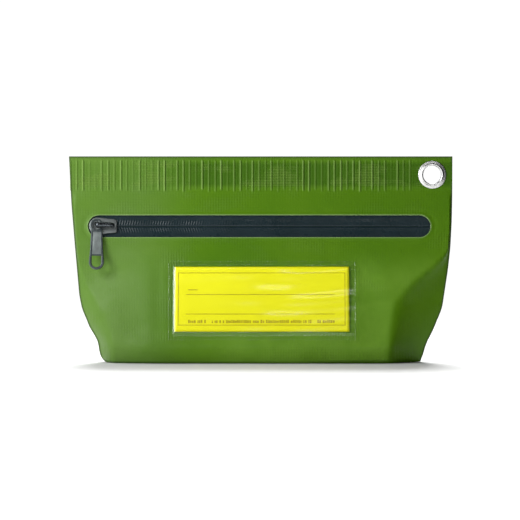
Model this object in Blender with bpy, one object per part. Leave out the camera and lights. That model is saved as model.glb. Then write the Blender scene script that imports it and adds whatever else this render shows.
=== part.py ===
"""Cash deposit bag: a welded tarpaulin pouch with a stadium-shaped window that frames a
reverse-coil zip, a clear label window on the front and an eyelet in the corner.

Units are metres, +Z is up, the front faces -Y and +X is to the bag's right as seen from the
front. The origin is the bottom centre of the whole bag.
"""

import math

import bmesh
import bpy
from mathutils import Matrix, Vector

mm = 0.001

# Cloth and gaps
SHEET = 0.7 * mm
GAP = 0.3 * mm

# Overall shape of the two welded panels
TOP_HEIGHT = 128.6 * mm
SEAL_HEIGHT = 107.3 * mm  # above this the two panels are welded flat together
FACET_FOOT = 14.0 * mm  # below this the flat front face curls under
SEAM_HALF = 0.5 * GAP + SHEET  # from the seam plane to a panel's outer face
SLOPE = math.radians(13.3)  # lean of the flat front face
CURL = 36.4  # how quickly the face curls under, per metre
SEAM_WIDTH = 4.0 * mm
SIDE_PROFILE = (  # height and half width of the bag's outline
    (0.0 * mm, 97.5 * mm),
    (5.0 * mm, 100.0 * mm),
    (12.0 * mm, 101.5 * mm),
    (24.0 * mm, 107.0 * mm),
    (35.0 * mm, 111.5 * mm),
    (54.0 * mm, 114.2 * mm),
    (84.0 * mm, 116.8 * mm),
    (TOP_HEIGHT, 120.0 * mm),
)
RIDGE_FOOT = 83.0 * mm  # half width of the flat front face near the floor
RIDGE_RISE = 0.37  # how much wider it gets per unit of height
RIDGE_LEAN = 0.4  # least run of the slanted side per unit of depth
PANEL_LEVELS = tuple(
    h * mm for h in (1.5, 4.5, 8, 11, 14, 24, 35, 54, 70, 84, 95)
) + (SEAL_HEIGHT, TOP_HEIGHT)

# Base
BASE_RIM_TOP = 8.0 * mm
BASE_RIM_FOOT = 4.5 * mm
BASE_CLEARANCE = 1.6 * mm  # from the panel's outer face in to the base's rim
BASE_FLOOR_INSET = 3.5 * mm
BASE_END_HALF = 2.0 * mm  # half width of the base's blunt ends

# Zip window, measured up the slope from the slot's centre line
SLOT_LEFT, SLOT_RIGHT = -107.6 * mm, 106.1 * mm
SLOT_HEIGHT = 13.8 * mm
SLOT_Z = 85.1 * mm

# Zip: n is measured outwards from the front panel's outer face
TAPE_FRONT = -(SHEET + GAP)
TAPE = 0.6 * mm
TAPE_HALF_LENGTH = 108.2 * mm
TAPE_EDGE = 12.0 * mm
TAPE_CORNER = 8.5 * mm
SLIT_HALF = 0.8 * mm
COIL_FRONT = TAPE_FRONT - TAPE - GAP
COIL_DEPTH = 2.4 * mm
COIL_WIDTH = 2.8 * mm
COIL_LEFT, COIL_RIGHT = -106.6 * mm, 102.0 * mm
CORD_RADIUS = 0.35 * mm
STRINGER_PIVOT_X = 100.0 * mm
TOP_STOP_LEFT, TOP_STOP_RIGHT = -107.9 * mm, -106.9 * mm
BOTTOM_STOP_LEFT, BOTTOM_STOP_RIGHT = 98.5 * mm, 101.5 * mm

# Slider and its pull
SLIDER_X = -98.05 * mm
SLIDER_LENGTH = 17.4 * mm
SLIDER_WIDTH = 11.0 * mm
WING = 1.3 * mm
CROWN_LEFT, CROWN_RIGHT = -4.75 * mm, 7.05 * mm  # from the slider's centre
CROWN_WIDTH = 2.9 * mm
CROWN_TOP = 5.4 * mm
CROWN_BAR = 1.2 * mm
CROWN_FOOT = 1.8 * mm
PULL_LENGTH = 27.3 * mm  # from the pivot to the rounded end
PULL_BACK, PULL_FRONT = 1.6 * mm, 2.8 * mm
PULL_EYE = 4.0 * mm
PULL_EYE_HOLE = 2.35 * mm
PULL_NECK, PULL_END_WIDTH = 6.5 * mm, 9.1 * mm
PULL_HOLE_WIDTH, PULL_HOLE_HEIGHT = 5.9 * mm, 7.3 * mm
PULL_RIM = 1.6 * mm

# Label window and its card
CARD_LEFT, CARD_RIGHT = -54.0 * mm, 56.0 * mm
CARD_LOW, CARD_HIGH = 17.8 * mm, 60.0 * mm
CARD = 0.4 * mm
WINDOW_LEFT, WINDOW_RIGHT = -57.3 * mm, 59.1 * mm
WINDOW_BORDER = 3.0 * mm
VINYL = 0.5 * mm

# Eyelet
EYELET_X, EYELET_Z = 107.3 * mm, 117.1 * mm
EYELET_FLANGE = 8.75 * mm
EYELET_BARREL = 6.3 * mm
EYELET_HOLE = 5.6 * mm
EYELET_CUT = 6.7 * mm
FLANGE = 0.7 * mm
WASHER_SEAT = 7.9 * mm  # the washer stands slightly proud outside this radius


def clear_scene():
    for obj in list(bpy.data.objects):
        bpy.data.objects.remove(obj, do_unlink=True)


def material(name, colour, roughness, metallic=0.0, alpha=1.0):
    made = bpy.data.materials.new(name)
    made.use_nodes = True
    shader = made.node_tree.nodes["Principled BSDF"]
    shader.inputs["Base Color"].default_value = (*colour, 1.0)
    shader.inputs["Roughness"].default_value = roughness
    shader.inputs["Metallic"].default_value = metallic
    shader.inputs["Alpha"].default_value = alpha
    made.diffuse_color = (*colour, alpha)
    return made


def empty(name, location, parent=None, rotation=(0.0, 0.0, 0.0)):
    made = bpy.data.objects.new(name, None)
    bpy.context.scene.collection.objects.link(made)
    made.location = location
    made.rotation_euler = rotation
    made.parent = parent
    return made


def seat(bm, name, parent, look=None, origin=(0.0, 0.0, 0.0), smooth=False):
    """Makes an object of the bmesh, with its own origin at this point of its parent's frame."""
    bmesh.ops.recalc_face_normals(bm, faces=bm.faces)
    bmesh.ops.translate(bm, verts=bm.verts, vec=-Vector(origin))
    mesh = bpy.data.meshes.new(name)
    bm.to_mesh(mesh)
    bm.free()
    if smooth:
        mesh.shade_smooth()
        mesh.set_sharp_from_angle(angle=math.radians(35))
    made = bpy.data.objects.new(name, mesh)
    bpy.context.scene.collection.objects.link(made)
    made.parent = parent
    made.location = origin
    if look is None:
        made.hide_render = True
        made.display_type = "WIRE"
    else:
        mesh.materials.append(look)
    return made


def boolean(target, other, operation):
    modifier = target.modifiers.new(operation.lower(), "BOOLEAN")
    modifier.operation = operation
    modifier.object = other
    modifier.solver = "EXACT"


def arc(centre, radius, start, end, steps):
    """Points on an arc in the (x, z) plane, angles in degrees."""
    turn = [math.radians(start + (end - start) * i / steps) for i in range(steps + 1)]
    return [(centre[0] + radius * math.cos(a), centre[1] + radius * math.sin(a)) for a in turn]


def rectangle(x0, x1, z0, z1):
    return [(x0, z0), (x1, z0), (x1, z1), (x0, z1)]


def rounded(x0, x1, z0, z1, low, high, steps=6):
    """A rectangle with corner radius low at its lower corners and high at its upper ones."""
    outline = []
    corners = ((x0, z0, 1, 1, 180), (x1, z0, -1, 1, 270), (x1, z1, -1, -1, 0), (x0, z1, 1, -1, 90))
    for x, z, sx, sz, start in corners:
        radius = low if z == z0 else high
        if radius:
            centre = (x + sx * radius, z + sz * radius)
            outline += arc(centre, radius, start, start + 90, steps)
        else:
            outline.append((x, z))
    return outline


def prism(outline, n0, n1):
    """The outline in (x, z), pulled from n0 out to n1, where n runs towards the front."""
    bm = bmesh.new()
    ring = [bm.verts.new((x, -n0, z)) for x, z in outline]
    pulled = bmesh.ops.extrude_face_region(bm, geom=[bm.faces.new(ring)])
    moved = [v for v in pulled["geom"] if isinstance(v, bmesh.types.BMVert)]
    bmesh.ops.translate(bm, verts=moved, vec=(0.0, n0 - n1, 0.0))
    return bm


def ring_solid(profile, steps=32):
    """A closed (radius, n) profile turned about the eyelet's axis, which points to the front."""
    bm = bmesh.new()
    loops = []
    for i in range(steps):
        angle = 2 * math.pi * (i + 0.5) / steps
        loops.append(
            [bm.verts.new((r * math.cos(angle), -n, r * math.sin(angle))) for r, n in profile]
        )
    for i, loop in enumerate(loops):
        after = loops[(i + 1) % steps]
        for j in range(len(profile)):
            k = (j + 1) % len(profile)
            bm.faces.new((loop[j], loop[k], after[k], after[j]))
    return bm


def half_width(z):
    for (z0, w0), (z1, w1) in zip(SIDE_PROFILE, SIDE_PROFILE[1:]):
        if z <= z1 + 1e-9:
            return w0 + (w1 - w0) * (z - z0) / (z1 - z0)
    return SIDE_PROFILE[-1][1]


def half_depth(z):
    """From the seam plane out to a panel's flat face, at its middle."""
    if z >= SEAL_HEIGHT:
        return SEAM_HALF
    flat = SEAM_HALF + math.tan(SLOPE) * (SEAL_HEIGHT - z)
    return flat - CURL * max(0.0, FACET_FOOT - z) ** 2


def ridge(z):
    """Half width of the flat face, out to where the side slants back to the seam."""
    seam = half_width(z) - SEAM_WIDTH
    steepest = seam - RIDGE_LEAN * (half_depth(z) - SEAM_HALF) - GAP
    return min(RIDGE_FOOT + RIDGE_RISE * (z - 5 * mm), steepest)


def section(z):
    """The right half of a panel's outer face at this height, as (x, depth) from middle to edge."""
    depth, corner, seam = half_depth(z), ridge(z), half_width(z) - SEAM_WIDTH
    round_off = min(1.5 * mm, 0.2 * (seam - corner))
    slant = (depth - SEAM_HALF) * (1 - round_off / (seam - corner)) + SEAM_HALF
    return [
        (0.0, depth),
        (0.5 * corner, depth),
        (corner - round_off, depth),
        (corner + round_off, slant),
        (seam, SEAM_HALF),
        (half_width(z), SEAM_HALF),
    ]


def panel_surface(side):
    """One panel's outer face. side is -1 for the front and 1 for the back."""
    bm = bmesh.new()
    rows = []
    for z in PANEL_LEVELS:
        right = section(z)
        whole = [(-x, depth) for x, depth in reversed(right[1:])] + right
        rows.append([bm.verts.new((x, side * depth, z)) for x, depth in whole])
    for low, high in zip(rows, rows[1:]):
        for i in range(len(low) - 1):
            face = (low[i], low[i + 1], high[i + 1], high[i])
            bm.faces.new(face if side < 0 else face[::-1])
    return bm


def panel(name, side, bag, look):
    bm = panel_surface(side)
    mesh = bpy.data.meshes.new(name)
    bm.to_mesh(mesh)
    bm.free()
    made = bpy.data.objects.new(name, mesh)
    bpy.context.scene.collection.objects.link(made)
    made.parent = bag
    mesh.materials.append(look)
    solid = made.modifiers.new("sheet", "SOLIDIFY")
    solid.thickness = SHEET
    solid.offset = -1.0
    solid.use_even_offset = True
    return made


def base_ring(z, inset):
    """The base's outline: a panel's section at height z, moved in by inset, with blunt ends."""
    depth, corner, seam = half_depth(z), ridge(z), half_width(z) - SEAM_WIDTH
    side = Vector((seam - corner, SEAM_HALF - depth))
    inward = Vector((side.y, -side.x)).normalized() * inset
    start = Vector((corner, depth)) + inward
    front = depth - inset
    run = side.x / side.y
    meet = start.x + run * (front - start.y)
    end = start.x + run * (BASE_END_HALF - start.y)
    bevel = 2.0 * mm
    quarter = [
        (end, BASE_END_HALF),
        (meet - run * bevel, front - bevel),
        (meet - bevel, front),
        (0.4 * meet, front),
    ]
    right = [(x, -y) for x, y in quarter]
    left = [(-x, y) for x, y in reversed(right)]
    low = right + left
    return low + [(x, -y) for x, y in reversed(low)]


def base_panel(bag, look):
    """A shallow tray: floor on the ground, rim turned up inside both panels."""
    clear = BASE_CLEARANCE
    rings = (
        (0.0, BASE_RIM_FOOT, clear + BASE_FLOOR_INSET),
        (BASE_RIM_FOOT, BASE_RIM_FOOT, clear),
        (BASE_RIM_TOP, BASE_RIM_TOP, clear),
        (BASE_RIM_TOP, BASE_RIM_TOP, clear + SHEET),
        (BASE_RIM_FOOT + 0.3 * SHEET, BASE_RIM_FOOT, clear + SHEET),
        (SHEET, BASE_RIM_FOOT, clear + BASE_FLOOR_INSET + 0.4 * SHEET),
    )
    bm = bmesh.new()
    loops = []
    for height, shape_height, inset in rings:
        outline = base_ring(shape_height, inset)
        loops.append([bm.verts.new((x, y, height)) for x, y in outline])
    count = len(loops[0])
    for low, high in zip(loops, loops[1:]):
        for i in range(count):
            j = (i + 1) % count
            bm.faces.new((low[i], low[j], high[j], high[i]))
    bm.faces.new(loops[0][::-1])
    bm.faces.new(loops[-1])
    return seat(bm, "base_panel", bag, look)


def zip_stringers(plane, film, nylon, cotton):
    """Upper and lower half of the zip: tape, coil on its back, cord in the coil, top stop."""
    pivot = (STRINGER_PIVOT_X, 0.0, 0.0)
    coil_n = COIL_FRONT - COIL_DEPTH / 2
    for word, side in (("upper", 1), ("lower", -1)):
        outline = rounded(
            -TAPE_HALF_LENGTH, TAPE_HALF_LENGTH, SLIT_HALF, TAPE_EDGE, 0.0, TAPE_CORNER
        )
        outline = [(x, side * v) for x, v in outline]
        bm = prism(outline, TAPE_FRONT - TAPE, TAPE_FRONT)
        seat(bm, f"{word}_zip_tape", plane, film, pivot)

        middle = side * (SLIT_HALF + COIL_WIDTH / 2)
        outer = (COIL_WIDTH / 2, COIL_DEPTH / 2)
        hole = (CORD_RADIUS + GAP, CORD_RADIUS + GAP)
        bm = tube(COIL_LEFT, COIL_RIGHT, middle, coil_n, outer, hole)
        seat(bm, f"{word}_coil", plane, nylon, pivot, smooth=True)

        bm = tube(COIL_LEFT, COIL_RIGHT, middle, coil_n, (CORD_RADIUS, CORD_RADIUS))
        seat(bm, f"{word}_coil_cord", plane, cotton, pivot, smooth=True)

        edge = side * (SLIT_HALF + COIL_WIDTH)
        low, high = sorted((side * SLIT_HALF, edge))
        outline = rectangle(TOP_STOP_LEFT, TOP_STOP_RIGHT, low, high)
        bm = prism(outline, COIL_FRONT - COIL_DEPTH, COIL_FRONT)
        seat(bm, f"{word}_top_stop", plane, nylon, pivot)


def tube(x0, x1, v, n, outer, hole=None, steps=12):
    """A straight tube or rod along X at (v, n), with elliptical (v, n) half sizes."""
    bm = bmesh.new()

    def loop(x, sizes):
        points = []
        for i in range(steps):
            angle = 2 * math.pi * i / steps
            points.append(
                bm.verts.new((x, -n + sizes[1] * math.sin(angle), v + sizes[0] * math.cos(angle)))
            )
        return points

    def bridge(one, other):
        for i in range(steps):
            j = (i + 1) % steps
            bm.faces.new((one[i], one[j], other[j], other[i]))

    left, right = loop(x0, outer), loop(x1, outer)
    bridge(left, right)
    if hole is None:
        bm.faces.new(left)
        bm.faces.new(right)
    else:
        left_hole, right_hole = loop(x0, hole), loop(x1, hole)
        bridge(left_hole, right_hole)
        bridge(left, left_hole)
        bridge(right, right_hole)
    return bm


def bottom_stop(plane, look):
    """A staple across both coils at the closed end of the zip, behind them and round their sides."""
    inner = SLIT_HALF + COIL_WIDTH + GAP
    outer = inner + 0.6 * mm
    back = COIL_FRONT - COIL_DEPTH - GAP
    span = (BOTTOM_STOP_LEFT, BOTTOM_STOP_RIGHT)
    bm = prism(rectangle(*span, -outer, outer), back - 0.7 * mm, back)
    stop = seat(bm, "bottom_stop", plane, look)
    for side in (-1, 1):
        low, high = sorted((side * inner, side * outer))
        bm = prism(rectangle(*span, low, high), back - 0.4 * mm, COIL_FRONT)
        boolean(stop, seat(bm, f"bottom_stop_ear_{side + 1}", plane), "UNION")


def wing_outline(grow=0.0):
    """A slider wing from above: a blunt nose on the left, widest behind it, then a narrower tail."""
    half, wide = SLIDER_LENGTH / 2 + grow, SLIDER_WIDTH / 2 + grow
    nose, tail = 0.62 * wide, 0.80 * wide
    right = [
        (-half, 0.45 * nose),
        (-half + 0.9 * mm, nose),
        (-half + 4.2 * mm, wide),
        (-half + 7.5 * mm, wide),
        (half - 1.6 * mm, tail),
        (half - 0.4 * mm, 0.75 * tail),
        (half, 0.45 * tail),
    ]
    return right + [(x, -v) for x, v in reversed(right)]


def slider(plane, metal, spring_steel):
    """The body joins a front and a back wing by one post, and its flanges keep the coils in."""
    seat_point = (SLIDER_X, 0.0, 0.0)
    wing_back = -SHEET
    back_wing_front = COIL_FRONT - COIL_DEPTH - GAP
    shifted = [(SLIDER_X + x, v) for x, v in wing_outline()]
    bm = prism(shifted, wing_back, wing_back + WING)
    body = seat(bm, "slider_body", plane, metal, seat_point)
    bm = prism(shifted, back_wing_front - 1.2 * mm, back_wing_front)
    boolean(body, seat(bm, "slider_back_wing", plane), "UNION")
    nose = SLIDER_X - SLIDER_LENGTH / 2
    post = rectangle(nose + 0.5 * mm, nose + 3.4 * mm, -0.5 * mm, 0.5 * mm)
    bm = prism(post, back_wing_front - 0.5 * mm, wing_back + 0.5 * mm)
    boolean(body, seat(bm, "slider_post", plane), "UNION")
    for side in (-1, 1):
        low, high = sorted((side * 4.85 * mm, side * 5.4 * mm))
        flange = rectangle(SLIDER_X - 4.4 * mm, SLIDER_X - 1.4 * mm, low, high)
        bm = prism(flange, back_wing_front - 0.5 * mm, COIL_FRONT)
        boolean(body, seat(bm, f"slider_flange_{side + 1}", plane), "UNION")

    left, right = SLIDER_X + CROWN_LEFT, SLIDER_X + CROWN_RIGHT
    wing_front = wing_back + WING
    half = CROWN_WIDTH / 2
    bm = prism(
        rounded(left, right, -half, half, 1.0 * mm, 1.0 * mm, 3), CROWN_TOP - CROWN_BAR, CROWN_TOP
    )
    crown = seat(bm, "slider_crown", plane, metal, seat_point)
    feet = ((left, left + CROWN_FOOT), (right - 2.4 * mm, right))
    for number, (x0, x1) in enumerate(feet):
        outline = rounded(x0, x1, -half, half, 0.5 * mm, 0.5 * mm, 2)
        bm = prism(outline, wing_front + GAP, CROWN_TOP - 0.5 * CROWN_BAR)
        boolean(crown, seat(bm, f"crown_foot_{number}", plane), "UNION")

    leaf_top = CROWN_TOP - CROWN_BAR - GAP
    leaf_end = right - 2.4 * mm - GAP
    leaf = rectangle(left + CROWN_FOOT + GAP, leaf_end, -0.8 * mm, 0.8 * mm)
    spring = seat(
        prism(leaf, leaf_top - 0.35 * mm, leaf_top),
        "slider_lock_spring", plane, spring_steel, seat_point,
    )
    pin = rectangle(leaf_end - 0.7 * mm, leaf_end, -0.5 * mm, 0.5 * mm)
    bm = prism(pin, wing_front + GAP, leaf_top - 0.1 * mm)
    boolean(spring, seat(bm, "lock_pin", plane), "UNION")


def pull_tab(plane, metal):
    """Hangs by a round eye from the crown's left foot, with a D-shaped finger hole at its end."""
    pivot = (SLIDER_X + CROWN_LEFT + CROWN_FOOT / 2, 0.0, 0.0)
    end = PULL_END_WIDTH / 2
    neck = PULL_NECK / 2
    shoulder = math.degrees(math.asin(neck / PULL_EYE))
    outline = arc((0.0, 0.0), PULL_EYE, -90 + shoulder, 270 - shoulder, 20)
    outline.append((-neck - 0.55 * mm, -15.0 * mm))
    outline += arc((0.0, -PULL_LENGTH + end), end, 180, 360, 14)
    outline.append((neck + 0.55 * mm, -15.0 * mm))
    outline = [(pivot[0] + x, v) for x, v in outline]
    pull = seat(prism(outline, PULL_BACK, PULL_FRONT), "pull_tab", plane, metal, pivot)

    eye = arc(pivot, PULL_EYE_HOLE, 0, 345, 23)
    half = PULL_HOLE_WIDTH / 2
    low = -PULL_LENGTH + PULL_RIM
    finger = arc((0.0, low + half), half, 180, 360, 12)
    finger += [(half, low + PULL_HOLE_HEIGHT), (-half, low + PULL_HOLE_HEIGHT)]
    finger = [(pivot[0] + x, v) for x, v in finger]
    for name, hole in (("pull_eye", eye), ("pull_finger_hole", finger)):
        cutter = seat(prism(hole, PULL_BACK - mm, PULL_FRONT + mm), name, plane)
        boolean(pull, cutter, "DIFFERENCE")


def up_slope(z):
    """Distance up the flat face from the slot's centre line to this height."""
    return (z - SLOT_Z) / math.cos(SLOPE)


def label(plane, vinyl, paper):
    """A clear pocket welded on three sides and open on the right, with a loose card in it."""
    low, high = up_slope(CARD_LOW), up_slope(CARD_HIGH)
    card = rectangle(CARD_LEFT, CARD_RIGHT, low, high)
    card_front = GAP + CARD
    seat(prism(card, GAP, card_front), "label_card", plane, paper)

    pocket_low, pocket_high = low - GAP, high + GAP
    pocket_left = CARD_LEFT - GAP
    rim = rounded(
        WINDOW_LEFT, WINDOW_RIGHT, pocket_low - WINDOW_BORDER, pocket_high + WINDOW_BORDER,
        1.5 * mm, 1.5 * mm, 3,
    )
    window = seat(prism(rim, GAP, GAP + VINYL), "label_window", plane, vinyl)
    cover_front = card_front + GAP + VINYL
    cover = rectangle(
        pocket_left - VINYL, WINDOW_RIGHT, pocket_low - VINYL, pocket_high + VINYL
    )
    bm = prism(cover, GAP, cover_front)
    boolean(window, seat(bm, "label_cover", plane), "UNION")
    pocket = rectangle(pocket_left, WINDOW_RIGHT + mm, pocket_low, pocket_high)
    bm = prism(pocket, -mm, card_front + GAP)
    boolean(window, seat(bm, "label_pocket", plane), "DIFFERENCE")


def eyelet(bag, metal):
    """A flanged barrel through both panels, and the washer it is rolled over on the back."""
    centre = (EYELET_X, 0.0, EYELET_Z)
    front = SEAM_HALF + GAP
    lip = front + FLANGE + GAP
    barrel = [
        (EYELET_HOLE + 0.35 * mm, front + FLANGE + 0.35 * mm),
        (7.0 * mm, front + FLANGE + 0.15 * mm),
        (EYELET_FLANGE, front + 0.25 * mm),
        (EYELET_FLANGE, front),
        (EYELET_BARREL, front),
        (EYELET_BARREL, -lip),
        (7.6 * mm, -lip),
        (7.4 * mm, -lip - 0.6 * mm),
        (EYELET_BARREL, -lip - 0.9 * mm),
        (EYELET_HOLE, -lip - 0.5 * mm),
        (EYELET_HOLE, front + 0.4 * mm),
    ]
    at = Matrix.Translation(centre)
    for name, profile in (
        ("eyelet_barrel", barrel),
        (
            "eyelet_washer",
            [
                (EYELET_BARREL + GAP, -front),
                (EYELET_BARREL + GAP, -front - FLANGE),
                (WASHER_SEAT, -front - FLANGE),
                (WASHER_SEAT, -front - FLANGE - 0.15 * mm),
                (EYELET_FLANGE, -front - FLANGE - 0.15 * mm),
                (EYELET_FLANGE, -front),
            ],
        ),
    ):
        bm = ring_solid(profile)
        bm.transform(at)
        seat(bm, name, bag, metal, centre, smooth=True)


def eyelet_cutter(bag):
    bm = prism(arc((EYELET_X, EYELET_Z), EYELET_CUT, 0, 348.75, 31), -5 * mm, 5 * mm)
    return seat(bm, "eyelet_cut", bag)


def slot_cutter(plane):
    half = SLOT_HEIGHT / 2
    outline = rounded(SLOT_LEFT, SLOT_RIGHT, -half, half, 0.999 * half, 0.999 * half, 10)
    return seat(prism(outline, -2 * mm, 2 * mm), "slot_cut", plane)


def seam_plane_y():
    """The seam plane lies a little behind the middle, because the label window stands proud."""
    proud = GAP + CARD + GAP + VINYL
    foot = up_slope(CARD_LOW) - GAP - VINYL
    front = half_depth(SLOT_Z) - foot * math.sin(SLOPE) + proud * math.cos(SLOPE)
    back = max(half_depth(z) for z in PANEL_LEVELS)
    return (front - back) / 2


def main():
    clear_scene()
    green = material("green_tarpaulin", (0.105, 0.225, 0.022), 0.55)
    film = material("black_zip_film", (0.012, 0.020, 0.024), 0.45)
    nylon = material("black_nylon", (0.010, 0.012, 0.014), 0.40)
    cotton = material("coil_cord_yarn", (0.03, 0.03, 0.035), 0.85)
    gunmetal = material("gunmetal", (0.20, 0.22, 0.23), 0.38, metallic=0.9)
    steel = material("spring_steel", (0.50, 0.50, 0.52), 0.30, metallic=1.0)
    silver = material("bright_nickel", (0.80, 0.80, 0.81), 0.18, metallic=1.0)
    vinyl = material("clear_vinyl", (0.92, 0.94, 0.92), 0.12, alpha=0.30)
    yellow = material("yellow_card", (0.87, 0.84, 0.02), 0.65)

    bag = empty("bag", (0.0, seam_plane_y(), 0.0))
    plane = empty("front_plane", (0.0, -half_depth(SLOT_Z), SLOT_Z), bag, (-SLOPE, 0.0, 0.0))

    front = panel("front_panel", -1, bag, green)
    back = panel("back_panel", 1, bag, green)
    hole = eyelet_cutter(bag)
    boolean(front, slot_cutter(plane), "DIFFERENCE")
    boolean(front, hole, "DIFFERENCE")
    boolean(back, hole, "DIFFERENCE")
    base_panel(bag, green)
    zip_stringers(plane, film, nylon, cotton)
    bottom_stop(plane, nylon)
    slider(plane, gunmetal, steel)
    pull_tab(plane, gunmetal)
    label(plane, vinyl, yellow)
    eyelet(bag, silver)


main()
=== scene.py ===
import math

import bmesh
import bpy
import numpy as np
from mathutils import Matrix, Vector


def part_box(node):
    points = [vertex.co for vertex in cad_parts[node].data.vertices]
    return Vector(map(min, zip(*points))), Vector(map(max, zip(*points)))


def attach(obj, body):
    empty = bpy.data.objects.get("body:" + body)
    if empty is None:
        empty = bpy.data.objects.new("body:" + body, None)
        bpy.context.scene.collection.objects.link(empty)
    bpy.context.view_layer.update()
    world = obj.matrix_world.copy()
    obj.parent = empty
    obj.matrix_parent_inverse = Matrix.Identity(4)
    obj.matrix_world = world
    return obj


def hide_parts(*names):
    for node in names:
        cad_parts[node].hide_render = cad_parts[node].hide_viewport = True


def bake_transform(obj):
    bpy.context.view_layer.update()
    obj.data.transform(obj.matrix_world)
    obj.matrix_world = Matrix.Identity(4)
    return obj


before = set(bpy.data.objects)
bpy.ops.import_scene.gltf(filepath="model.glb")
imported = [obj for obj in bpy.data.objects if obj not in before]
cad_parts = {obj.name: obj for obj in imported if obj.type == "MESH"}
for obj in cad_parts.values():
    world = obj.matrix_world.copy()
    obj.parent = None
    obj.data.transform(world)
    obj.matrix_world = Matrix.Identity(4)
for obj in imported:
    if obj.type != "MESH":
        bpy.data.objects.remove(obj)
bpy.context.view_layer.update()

mm = 0.001

# Shape shared with the CAD panels
FRONT_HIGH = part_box("front_panel")[1]
BACK_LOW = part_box("back_panel")[0]
SEAM_Y = (FRONT_HIGH[1] + BACK_LOW[1]) / 2
HALF = FRONT_HIGH[0]
TOP_Z = FRONT_HIGH[2]
SHEET = 0.7 * mm
SEAM_HALF = BACK_LOW[1] - SEAM_Y + SHEET
SLOPE = math.radians(13.3)
SEAL_Z = 107.3 * mm
FACET_FOOT_Z = 14.0 * mm
CURL = 36.4  # how fast the panels curl in below FACET_FOOT_Z, per metre
SLOT_Z = 85.1 * mm
SLOT_LEFT, SLOT_RIGHT = -107.6 * mm, 106.1 * mm
SLOT_HALF = 7.05 * mm
SLOT_MIDDLE, SLOT_REACH = (SLOT_LEFT + SLOT_RIGHT) / 2, (SLOT_RIGHT - SLOT_LEFT) / 2 - SLOT_HALF

# The bag's outline and its creases, in millimetres: height, then distance from the middle
RIGHT_OUTLINE = (
    (0, 99.7), (4, 101.6), (9, 102.9), (13, 104.4), (19, 107.6), (27, 110.9), (34, 113.7),
    (46, 115.5), (58, 117.3), (72, 118.8), (88, 119.6), (104, 119.9), (128.6, 119.95),
)
LEFT_OUTLINE = (
    (0, 98.4), (5, 100.6), (9, 101.2), (13, 101.8), (18, 104.5), (22, 107.2), (27, 108.9),
    (33, 111.6), (42, 113.4), (56, 114.6), (73, 116.1), (99, 118.2), (128.6, 119.7),
)
RIGHT_CREASE = (
    (0, 80), (19, 81.7), (37.5, 84.5), (45, 91), (53.4, 99), (58, 106), (64, 113), (70, 117),
    (80, 119),
)
LEFT_CREASE = (
    (0, 91), (20, 93), (40, 102), (55, 108), (66, 113), (75, 117), (85, 119),
)
CREASE_TOP_Z = 78 * mm  # the ends' creases and roll fade out up to here
LEFT_ROLL = 66.0 * mm  # the left end of the face turns gently back from here
LEFT_ROLL_SLOPE, ROLL_BEND = 0.21, 6 * mm

# Heat-sealed band
BAND_LOW, BAND_HIGH = 106.5 * mm, 126.6 * mm
RIB_PITCH = 3.93 * mm
RIB_HEIGHT = 0.48 * mm
BAND_RECESS = 0.12 * mm
BAND_RIGHT = 100.0 * mm

# Width of the painted shade along the outer edges and of the painted highlight round the slot
SHADE_RIM, HIGHLIGHT_RIM = 0.9 * mm, 0.45 * mm

# Dents and bulges of the cloth: height, then middle in x and z, reach across and up, and turn
FRONT_DENTS = (
    (-0.9, -79, 22, 9, 10, 35), (0.6, -92, 30, 10, 14, 20), (0.5, -72, 10, 8, 6),
    (-0.5, -64, 40, 4, 24), (0.22, -80, 70.5, 13, 1.3, 4), (-0.22, -80, 67.5, 12, 1.4, 4),
    (-1.7, 67, 40, 11, 24, 12), (-0.8, 100, 44, 9, 8, 40), (-0.5, 94, 25, 8, 14),
    (-1.0, 58, 10, 16, 8), (-0.35, 30, 70, 30, 5),
)
BACK_DENTS = ((-1.2, 40, 50, 45, 20, 10), (0.8, -50, 35, 30, 18, -15), (-0.8, -96, 40, 9, 9, -40))

EYELET_LOW, EYELET_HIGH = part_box("eyelet_barrel")
EYELET_X = (EYELET_LOW[0] + EYELET_HIGH[0]) / 2
EYELET_Z = (EYELET_LOW[2] + EYELET_HIGH[2]) / 2
EYELET_RADIUS = (EYELET_HIGH[0] - EYELET_LOW[0]) / 2
EYELET_CUT = 7.3 * mm  # radius of the hole in the cloth


def add_object(name, data):
    made = bpy.data.objects.new(name, data)
    bpy.context.scene.collection.objects.link(made)
    return made


def smooth_object(name, bm, sharp=None):
    """bm's solids with their faces turned outwards, creased where they turn by sharp degrees."""
    bmesh.ops.recalc_face_normals(bm, faces=bm.faces)
    mesh = bpy.data.meshes.new(name)
    bm.to_mesh(mesh)
    bm.free()
    mesh.shade_smooth()
    if sharp:
        mesh.set_sharp_from_angle(angle=math.radians(sharp))
    return add_object(name, mesh)


def solid_mesh(name, points, faces, sharp=None):
    bm = bmesh.new()
    corners = [bm.verts.new(point) for point in points]
    for face in faces:
        bm.faces.new([corners[i] for i in face])
    return smooth_object(name, bm, sharp)


def tube_faces(rings, around, closed=False):
    """Faces between rings of points, with a cap on each end, or joined end to end if closed."""
    faces = []
    for i in range(rings if closed else rings - 1):
        after = (i + 1) % rings
        for j in range(around):
            k = (j + 1) % around
            faces.append([i * around + j, i * around + k, after * around + k, after * around + j])
    if not closed:
        last = (rings - 1) * around
        faces.append(list(range(around)))
        faces.append([last + j for j in reversed(range(around))])
    return faces


def smooth_line(points, spread=2.2 * mm):
    """The broken line through the points with its corners rounded off, as a function."""
    heights, widths = np.array(points).T * mm
    step, past = 0.25 * mm, 20 * mm
    z = np.arange(heights[0] - past, heights[-1] + past, step)
    w = np.interp(z, heights, widths)
    reach = int(3 * spread / step)
    kernel = np.exp(-0.5 * (np.arange(-reach, reach + 1) * step / spread) ** 2)
    padded = np.pad(w, reach, mode="edge")
    smoothed = np.convolve(padded, kernel / kernel.sum(), mode="valid")
    return lambda q: np.interp(q, z, smoothed)


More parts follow.
